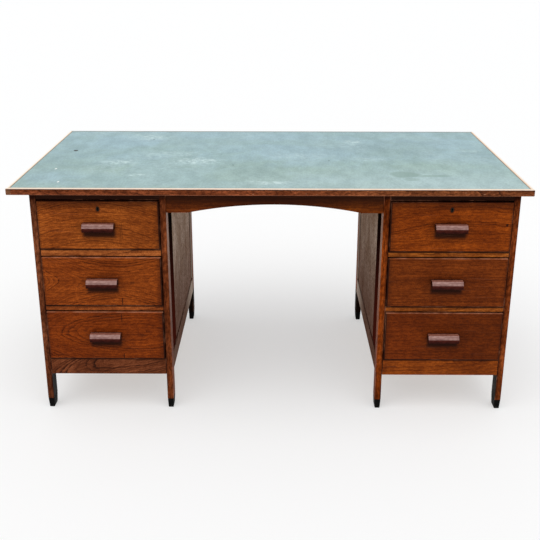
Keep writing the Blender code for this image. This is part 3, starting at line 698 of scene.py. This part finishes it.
# ---------------------------------------------------------------- lippings
LIPPING_TONES = {"front": (0.215, 0.0560, 0.0170), "back": (0.160, 0.0600, 0.0240),
                 "left": (0.170, 0.0640, 0.0250), "right": (0.230, 0.0700, 0.0200)}
LIPPING_TOPS = {"front": (0.900, 0.740, 0.600), "back": (0.450, 0.510, 0.490),
                "left": (1.000, 0.950, 0.860), "right": (0.960, 0.850, 0.740)}
LIPPING_FIGURE = {"pith": (0.0, 0.05), "lines": 0.9, "bow": 0.12, "slant": 0.02}
LIPPING_AT_LEFT, LIPPING_AT_RIGHT = (0.93, 0.88, 1.02), (0.93, 1.06, 1.22)
LIPPING_END = (0.155, 0.080, 0.042)
LIPPING_NICKS = (0.50, 0.28, 0.17)
DULL_LINE_DROP = 0.0036          # a dull line this far below the upper face


def lipping_material(which):
    """Oak edging: brown outside, and rubbed pale on its upper face."""
    node = "lipping_" + which
    along, facing = (X, Y) if which in ("front", "back") else (Y, X)
    seed = 83.0 + 3.1 * LIPPING_NAMES.index(which)
    g, grain, colour = oak(node, along, facing, LIPPING_TONES[which], seed, LIPPING_FIGURE, 0.26, 0.40)
    low, high = grain.low, grain.high
    outward = low[facing] if which in ("front", "left") else high[facing]
    from_outside = from_plane(g, facing, outward)
    if which == "front":
        rightwards = g.step(g.place[X], -0.10, 0.45)
        colour = g.tint(colour, g.mix(rightwards, LIPPING_AT_LEFT, LIPPING_AT_RIGHT))
        left_end = band(g, from_plane(g, X, low[X]), 0.006, 0.017, 0.011, 0.75)
        colour = g.mix(left_end, colour, LIPPING_END)
    colour = worn_and_highlighted(g, colour, band(g, from_plane(g, Z, low[Z]), 0.0010, 0.0030, 0.0006, 0.30))
    from_dull_line = from_plane(g, Z, high[Z] - DULL_LINE_DROP)
    colour = dirtied_and_shaded(g, colour, band(g, from_dull_line, 0.0006, 0.0021, 0.0008, 0.60))
    short = g.combine(g.times(g.place[along], 70.0), g.times(g.place[Z], 160.0), 0.0)
    nicks = g.step(g.noise(short, 1.0, 2.0), 0.70, 0.76)
    colour = g.mix(g.times(nicks, 0.6), colour, LIPPING_NICKS)
    bare = g.step(ragged(g, g.place[Z], 0.0008, 120.0), high[Z] - 0.0022, high[Z] - 0.0008)
    pale = LIPPING_TOPS[which]
    if which in ("left", "right"):
        pale = g.mix(g.step(from_outside, 0.0088, 0.0040), scaled(pale, 0.82, 0.66, 0.52), pale)
    inner = g.step(from_outside, 0.0104, 0.0090)
    colour = g.mix(g.times(bare, inner), colour, pale)
    return oak_finish(g, grain, colour)


# ---------------------------------------------------------------- linoleum
LINO = {
    "bluish": (0.320, 0.470, 0.518), "sage": (0.292, 0.425, 0.388), "bright": (0.440, 0.575, 0.575),
    "dull": (0.225, 0.335, 0.345), "haze": (0.470, 0.605, 0.620), "scuff": (0.600, 0.745, 0.740),
    "smear": (0.215, 0.330, 0.285), "hairline": (0.56, 0.68, 0.68), "dust": (0.62, 0.72, 0.70),
    "pit": (0.15, 0.21, 0.19), "pale speck": (0.86, 0.88, 0.85), "dark speck": (0.10, 0.15, 0.14),
    "nick": (0.030, 0.036, 0.034), "seam": (0.20, 0.24, 0.21),
}
# x and y of each patch's middle, half length along X, half width along Y, strength
SAGE_CLOUDS = (
    (-0.042, -0.250, 0.150, 0.130, 0.85), (0.143, -0.188, 0.130, 0.070, 0.60),
    (-0.527, -0.178, 0.120, 0.080, 0.55), (0.515, -0.130, 0.220, 0.110, 0.55),
    (-0.330, 0.130, 0.200, 0.110, 0.40), (0.430, 0.080, 0.170, 0.120, 0.30),
)
BLUE_CLOUDS = (
    (0.107, 0.062, 0.200, 0.140, 0.75), (-0.660, -0.290, 0.110, 0.110, 0.80),
    (0.640, 0.199, 0.150, 0.120, 0.55), (-0.507, 0.231, 0.170, 0.120, 0.70),
    (-0.060, 0.330, 0.300, 0.070, 0.45), (0.076, -0.120, 0.090, 0.050, 0.45),
)
DULL_CLOUDS = (
    (-0.700, -0.050, 0.070, 0.380, 0.70), (0.360, 0.120, 0.300, 0.150, 1.30),
    (-0.042, -0.220, 0.110, 0.110, 0.90), (0.700, 0.060, 0.080, 0.160, 0.80),
    (-0.500, -0.130, 0.120, 0.080, 0.40),
)
PALE_SCUFFS = (
    (-0.440, 0.304, 0.080, 0.058, 0.75), (-0.487, -0.090, 0.066, 0.036, 0.80),
    (-0.245, -0.068, 0.092, 0.056, 1.00), (-0.410, -0.260, 0.045, 0.016, 0.80),
    (-0.005, -0.348, 0.100, 0.024, 0.95), (0.288, 0.225, 0.044, 0.046, 0.85),
    (0.682, 0.090, 0.050, 0.034, 0.50), (-0.346, 0.030, 0.120, 0.060, 0.50),
    (0.076, 0.010, 0.140, 0.050, 0.40), (0.330, -0.040, 0.090, 0.030, 0.35),
)
DARK_SMEARS = ((0.414, -0.244, 0.050, 0.042, 1.00), (0.500, -0.262, 0.062, 0.012, 0.90),
               (0.426, -0.306, 0.026, 0.020, 0.60))
PALE_SPECKS = ((-0.673, -0.181, 0.0036, 0.0085, 1.00), (-0.628, -0.344, 0.0036, 0.0085, 1.00))
DARK_SPECKS = ((-0.424, 0.269, 0.0036, 0.0070, 0.70), (-0.119, -0.125, 0.0036, 0.0070, 0.70),
               (0.191, -0.061, 0.0036, 0.0070, 0.70))
NICKS = ((-0.667, 0.082, 0.0080, 0.0120, 1.00),)


def blots(g, spots, unevenness, scale, outline, core):
    """The strongest of several soft-edged patches at each place."""
    amounts = []
    for x, y, half_length, half_width, strength in spots:
        distance = patch_distance(g, (x, y), (half_length, half_width), (X, Y))
        amounts.append(band(g, distance, unevenness, outline, core, strength, scale))
    return g.largest(amounts)


def clouds_of(g, spots):
    """Wide patches without an outline."""
    return blots(g, spots, 0.9, 9.0, 1.25, 0.10)


def linoleum_ground(g):
    """Base colour: cloudy patches between blue-grey and sage, brighter to the front right."""
    clouds = g.step(g.noise(g.position, 6.5, 6.0, 0.66, 1.2), 0.40, 0.60)
    front_half = g.step(ragged(g, g.place[Y], 0.30, 4.0), 0.06, -0.16)
    share = g.add(0.10, g.times(clouds, 0.30), g.times(front_half, 0.42))
    share = g.add(share, g.times(clouds_of(g, SAGE_CLOUDS), 0.65))
    share = g.add(share, g.times(clouds_of(g, BLUE_CLOUDS), -0.60))
    between_0_and_1 = g.math("ADD", share, 0.0, clamp=True)
    colour = g.mix(between_0_and_1, LINO["bluish"], LINO["sage"])
    to_right = g.step(g.place[X], -0.45, 0.60)
    bright = g.times(g.step(g.place[Y], -0.02, -0.40), g.add(0.25, g.times(to_right, 0.75)))
    colour = g.mix(g.times(bright, 0.62), colour, LINO["bright"])
    colour = g.mix(g.times(clouds_of(g, DULL_CLOUDS), 0.30), colour, LINO["dull"])
    uneven = g.step(g.noise(g.stretched(20.0, 11.0), 1.0, 6.0, 0.68), 0.34, 0.66)
    colour = g.tint(colour, g.mix(uneven, (0.88, 0.895, 0.90), (1.11, 1.10, 1.10)))
    grit = g.step(g.noise(g.stretched(190.0, 60.0), 1.0, 3.0, 0.6), 0.34, 0.66)
    return g.tint(colour, g.mix(grit, (0.925, 0.93, 0.935), (1.075, 1.07, 1.065)))


def linoleum_material():
    """Worn grey-green linoleum with cloudy patches, pale scuffs, smears, specks and one deep nick."""
    g = Graph("linoleum", 0.35)
    colour = linoleum_ground(g)
    slanted = g.add(g.place[X], g.times(g.place[Y], 0.35))
    brushed = g.noise(g.combine(g.times(slanted, 55.0), g.times(g.place[Y], 42.0), 0.0), 1.0, 5.0, 0.72)
    strands = g.step(brushed, 0.42, 0.62)
    haze = g.times(strands, g.step(g.noise(g.position, 4.0, 3.0), 0.44, 0.66), 0.50)
    colour = g.mix(haze, colour, LINO["haze"])
    scuffs = blots(g, PALE_SCUFFS, 1.3, 30.0, 1.15, 0.30)
    colour = g.mix(g.times(scuffs, g.add(0.16, g.times(strands, 0.74))), colour, LINO["scuff"])
    smears = blots(g, DARK_SMEARS, 0.55, 30.0, 1.05, 0.75)
    colour = g.mix(g.times(smears, 0.62), colour, LINO["smear"])

    hairlines = g.combine(g.add(g.times(g.place[X], 16.0), g.times(g.place[Y], 60.0)),
                          g.add(g.times(g.place[Y], 300.0), g.times(g.place[X], -110.0)), 0.0)
    hairline = g.times(g.step(g.noise(hairlines, 1.0, 1.0), 0.70, 0.76), 0.45)
    colour = g.mix(hairline, colour, LINO["hairline"])
    dust = g.step(g.cells(g.position, 90.0), 0.060, 0.030)
    colour = g.mix(g.times(dust, 0.55), colour, LINO["dust"])
    pits = g.step(g.cells(g.combine(g.place[Y], g.place[X], 3.0), 60.0), 0.050, 0.025)
    colour = g.mix(g.times(pits, 0.55), colour, LINO["pit"])
    colour = g.mix(blots(g, PALE_SPECKS, 0.0, 1.0, 1.1, 0.7), colour, LINO["pale speck"])
    colour = g.mix(blots(g, DARK_SPECKS, 0.0, 1.0, 1.1, 0.6), colour, LINO["dark speck"])
    nick = blots(g, NICKS, 0.4, 200.0, 1.1, 0.7)
    colour = g.mix(nick, colour, LINO["nick"])

    low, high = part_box("top_lino")
    from_ends = g.math("MINIMUM", from_plane(g, X, low[X]), from_plane(g, X, high[X]))
    from_sides = g.math("MINIMUM", from_plane(g, Y, low[Y]), from_plane(g, Y, high[Y]))
    seam = band(g, g.math("MINIMUM", from_ends, from_sides), 0.0010, 0.0036, 0.0008, 0.32)
    colour = g.mix(seam, colour, LINO["seam"])

    fine = g.noise(g.position, 700.0, 2.0)
    g.bump(g.add(g.times(fine, 0.5), g.times(nick, -1.5), g.times(strands, 0.2)), 0.0004, 0.35)
    roughness = g.add(0.46, g.times(haze, 0.20), g.times(scuffs, 0.10), g.times(fine, 0.06))
    return g.finish(colour, roughness)


# ---------------------------------------------------------------- handles, boxes, feet and locks
# each pair is the colour of the pale flecks, then that of the dark ones
HANDLE_GRAIN = ((0.150, 0.0400, 0.0250), (0.050, 0.0100, 0.0060))
HANDLE_FACET_REFLECTION = ((0.430, 0.265, 0.232), (0.215, 0.110, 0.096))
HANDLE_TOP_LIGHT = ((0.360, 0.150, 0.103), (0.165, 0.050, 0.034))
HANDLE_LOWER_SHADE = ((0.072, 0.0125, 0.0080), (0.022, 0.0035, 0.0025))
HANDLE_ENDS = (0.0140, 0.0030, 0.0025)
HANDLE_UNDERSIDE_SHADE = (0.0080, 0.0015, 0.0012)


def mahogany_material(node):
    """A handle: dark red-brown, with painted light on its level top, a painted greyish pink reflection on
    its sloping facet, and painted shade below.
    """
    g = Graph("mahogany_" + node, 0.06, (1.0, 0.70, 0.65))
    grain = Grain(g, node, X, Y, 91.0 + 0.7 * len(node), (0.01, 0.03), 0.02, 0.03)
    colour = g.ramp(grain.darkness(), [(0.10, HANDLE_GRAIN[0]), (0.70, HANDLE_GRAIN[1])])
    up = g.step(g.normal[Z], 0.20, 0.45)
    forward = g.step(g.normal[Y], -0.20, -0.45)
    sloping = g.times(up, forward)
    speckle = g.add(g.times(grain.flecks, 0.60), g.times(grain.streaks, 0.35))
    # a painted reflection on the sloping facet, brighter towards its upper edge
    facet_reflection = g.mix(speckle, *HANDLE_FACET_REFLECTION)
    # painted light on the level top
    top = g.mix(speckle, *HANDLE_TOP_LIGHT)
    fall = g.step(g.place[Z], grain.high[Z], grain.high[Z] - 0.011)
    facet_reflection = g.tint(facet_reflection, g.mix(fall, (1.16, 1.15, 1.15), (0.86, 0.86, 0.87)))
    colour = g.mix(g.times(up, g.invert(forward)), colour, top)
    colour = g.mix(g.times(sloping, 0.92), colour, facet_reflection)
    # painted shade on the lower front face, darkest towards the sole
    lower = g.mix(speckle, *HANDLE_LOWER_SHADE)
    to_sole = g.step(g.place[Z], grain.low[Z] + 0.012, grain.low[Z] + 0.002)
    lower = g.tint(lower, g.mix(to_sole, (1.30, 1.40, 1.40), (0.55, 0.48, 0.48)))
    colour = g.mix(g.times(g.invert(up), g.step(g.normal[Y], -0.5, -0.8)), colour, lower)
    endways = g.step(g.math("ABSOLUTE", g.normal[X]), 0.5, 0.8)
    colour = g.mix(g.times(endways, 0.85), colour, HANDLE_ENDS)
    # painted shade on the downward faces
    underneath = g.step(g.normal[Z], 0.05, -0.30)
    colour = g.mix(g.times(underneath, 0.94), colour, HANDLE_UNDERSIDE_SHADE)
    g.bump(grain.height(), 0.0004, 0.45)
    return g.finish(colour, g.add(0.30, g.times(grain.streaks, 0.16)))


LINING = {"pale": (0.560, 0.385, 0.225), "middling": (0.440, 0.285, 0.155), "dark": (0.210, 0.115, 0.055),
          "pores": (0.20, 0.11, 0.05), "aged": (0.250, 0.150, 0.080), "end grain": (0.230, 0.120, 0.055),
          "grubby": (0.12, 0.060, 0.030), "ink": (0.020, 0.022, 0.050)}
TAILS = 4                        # dovetails in the height of a drawer's corner
FRONT_JOINT = 0.016              # length of the dovetails at a drawer's front
BACK_JOINT = 0.012               # and at its back


def lining_material(node):
    """A drawer's bare sides and bottom: pale wood, grubby rims, ink drops and dovetailed corners."""
    g = Graph("lining_" + node, 0.25)
    grain = Grain(g, node, Y, X, 97.0 + 0.9 * len(node), (0.02, 0.06), 0.10, 0.05)
    stops = [(0.10, LINING["pale"]), (0.45, LINING["middling"]), (0.95, LINING["dark"])]
    colour = g.ramp(grain.darkness(), stops)
    colour = g.mix(g.times(grain.pores, 0.35), colour, LINING["pores"])
    aged = g.step(g.noise(g.position, 9.0, 4.0), 0.35, 0.75)
    colour = g.mix(g.times(aged, 0.35), colour, LINING["aged"])
    low, high = grain.low, grain.high
    pitch = (high[Z] - low[Z]) / TAILS
    turns = g.math("FRACT", g.times(g.math("SUBTRACT", g.place[Z], low[Z]), 1.0 / pitch))
    tail = g.step(g.math("ABSOLUTE", g.math("SUBTRACT", turns, 0.5)), 0.30, 0.28)
    front_line, back_line = low[Y] + FRONT_JOINT, high[Y] - BACK_JOINT
    near_front = g.step(g.place[Y], front_line + 0.0005, front_line - 0.0005)
    near_back = g.step(g.place[Y], back_line - 0.0005, back_line + 0.0005)
    joint = g.math("MAXIMUM", near_front, near_back)
    colour = g.mix(g.times(joint, tail, 0.55), colour, LINING["end grain"])
    grubby = band(g, from_plane(g, Z, high[Z]), 0.010, 0.022, 0.0, 0.40)
    colour = g.mix(grubby, colour, LINING["grubby"])
    ink = g.step(g.cells(g.combine(g.place[X], g.place[Y], 1.5), 16.0), 0.060, 0.035)
    colour = g.mix(g.times(ink, 0.60), colour, LINING["ink"])
    g.bump(grain.height(), 0.0006, 0.6)
    return g.finish(colour, g.add(0.58, g.times(grain.streaks, 0.14)))


FOOT_BLACK, FOOT_SMUDGE, FOOT_SCUFF = (0.0018,) * 3, (0.0060, 0.0056, 0.0052), (0.060, 0.056, 0.050)


def foot_material():
    """Black satin caps, scuffed grey near the floor."""
    g = Graph("black_foot", 0.03)
    smudge = g.noise(g.position, 60.0, 4.0)
    colour = g.ramp(smudge, [(0.30, FOOT_BLACK), (0.80, FOOT_SMUDGE)])
    scuffed = g.times(g.step(g.place[Z], 0.012, 0.0), g.step(g.noise(g.position, 140.0, 3.0), 0.50, 0.70))
    colour = g.mix(g.times(scuffed, 0.5), colour, FOOT_SCUFF)
    g.bump(smudge, 0.0005, 0.45)
    return g.finish(colour, g.add(0.42, g.times(smudge, 0.25)))


STEEL_DARK, STEEL_BRIGHT, RUST = (0.012, 0.009, 0.007), (0.042, 0.035, 0.029), (0.045, 0.016, 0.007)


def lock_material():
    """Dark tarnished steel with brown spots."""
    g = Graph("lock_steel", 0.5)
    g.shader.inputs["Metallic"].default_value = 1.0
    smudge = g.noise(g.position, 220.0, 4.0)
    colour = g.ramp(smudge, [(0.30, STEEL_DARK), (0.75, STEEL_BRIGHT)])
    rust = g.step(g.noise(g.position, 90.0, 3.0), 0.55, 0.70)
    colour = g.mix(g.times(rust, 0.6), colour, RUST)
    g.bump(smudge, 0.0002, 0.5)
    return g.finish(colour, g.add(0.40, g.times(rust, 0.30)))


CORE_TONE, CORE_DUST = (0.150, 0.0620, 0.0260), (0.090, 0.058, 0.036)


def core_material():
    """The top board, of which only the unpolished underside shows."""
    g, grain, colour = oak("top_board", X, Z, CORE_TONE, 63.0, {"pith": (0.10, 0.20)})
    dusty = g.step(g.noise(g.position, 6.0, 4.0), 0.40, 0.70)
    colour = g.mix(g.times(dusty, 0.35), colour, CORE_DUST)
    g.bump(grain.height(), 0.0007, 0.6)
    return g.finish(colour, g.add(0.60, g.times(grain.streaks, 0.12)))


def dress_desk():
    """Give every CAD node its material."""
    feet = foot_material()
    metal = lock_material()
    wear("top_board", core_material())
    wear("top_lino", linoleum_material())
    for which in LIPPING_NAMES:
        wear("lipping_" + which, lipping_material(which))
    for end in ("front", "back"):
        wear("apron_" + end, apron_material(end))
    for side in SIDES:
        for which in ("outer", "inner"):
            for end in ("front", "back"):
                wear(f"leg_{side}_{which}_{end}", leg_material(side, which, end))
                wear(f"foot_{side}_{which}_{end}", feet)
            wear(f"side_{side}_{which}", panel_material(f"side_{side}_{which}", X))
        wear(f"back_{side}", panel_material(f"back_{side}", Y))
        for level in ("top", "upper", "lower", "bottom"):
            wear(f"rail_{side}_{level}", rail_material(side, level))
        for level in LEVELS:
            drawer = f"drawer_{side}_{level}"
            wear(drawer + "_front", drawer_front_material(side, level))
            wear(drawer + "_box", lining_material(drawer + "_box"))
            wear(drawer + "_handle", mahogany_material(drawer + "_handle"))
        wear(f"lock_{side}", metal)
        wear(f"bolt_{side}", metal)


# ---------------------------------------------------------------- stage and light
WHITE = (1.0, 1.0, 1.0, 1.0)
FLOOR_REACH = 60.0
FLOOR_DROP = 0.0002              # just under the feet, so that no two faces share a plane
FLOOR_GREY = (0.50, 0.50, 0.50, 1.0)
FLOOR_GLOW = 0.46
SURROUND_COLOUR = (0.97, 0.985, 1.0, 1.0)
SURROUND_LIGHT = 0.66            # how strongly the surround lights the desk
SURROUND_EXTRA = 0.36            # added where it is seen directly, so that the backdrop is white
KEY_STRENGTH = 1.45
KEY_SPREAD = 75                  # degrees
KEY_COLOUR = (1.0, 0.99, 0.975)
KEY_DIRECTION = (0.12, 0.42, -1.0)


def add_floor():
    """A wide pale floor that glows a little itself, so that the shadows on it stay soft."""
    bpy.ops.mesh.primitive_circle_add(vertices=96, radius=FLOOR_REACH, fill_type="NGON")
    floor = bpy.context.object
    floor.name = "floor"
    floor.location.z = -FLOOR_DROP
    material = bpy.data.materials.new("floor_pale")
    material.use_nodes = True
    shader = material.node_tree.nodes["Principled BSDF"]
    shader.inputs["Base Color"].default_value = FLOOR_GREY
    shader.inputs["Emission Color"].default_value = WHITE
    shader.inputs["Emission Strength"].default_value = FLOOR_GLOW
    shader.inputs["Roughness"].default_value = 0.9
    shader.inputs["Specular IOR Level"].default_value = 0.1
    floor.data.materials.append(material)


def add_light():
    """An even pale surround and one very soft light from above the front left."""
    world = bpy.data.worlds.new("surround")
    world.use_nodes = True
    background = world.node_tree.nodes["Background"]
    background.inputs["Color"].default_value = SURROUND_COLOUR
    seen_directly = world.node_tree.nodes.new("ShaderNodeLightPath").outputs["Is Camera Ray"]
    brighten = world.node_tree.nodes.new("ShaderNodeMath")
    brighten.operation = "MULTIPLY_ADD"
    brighten.inputs[1].default_value = SURROUND_EXTRA
    brighten.inputs[2].default_value = SURROUND_LIGHT
    world.node_tree.links.new(seen_directly, brighten.inputs[0])
    world.node_tree.links.new(brighten.outputs[0], background.inputs["Strength"])
    bpy.context.scene.world = world

    data = bpy.data.lights.new("soft_key", "SUN")
    data.energy = KEY_STRENGTH
    data.angle = math.radians(KEY_SPREAD)
    data.color = KEY_COLOUR
    light = bpy.data.objects.new("soft_key", data)
    light.rotation_euler = Vector(KEY_DIRECTION).to_track_quat("-Z", "Y").to_euler()
    bpy.context.scene.collection.objects.link(light)
    bpy.context.scene.view_settings.view_transform = "Standard"


add_camera()
add_floor()
add_light()
dress_desk()
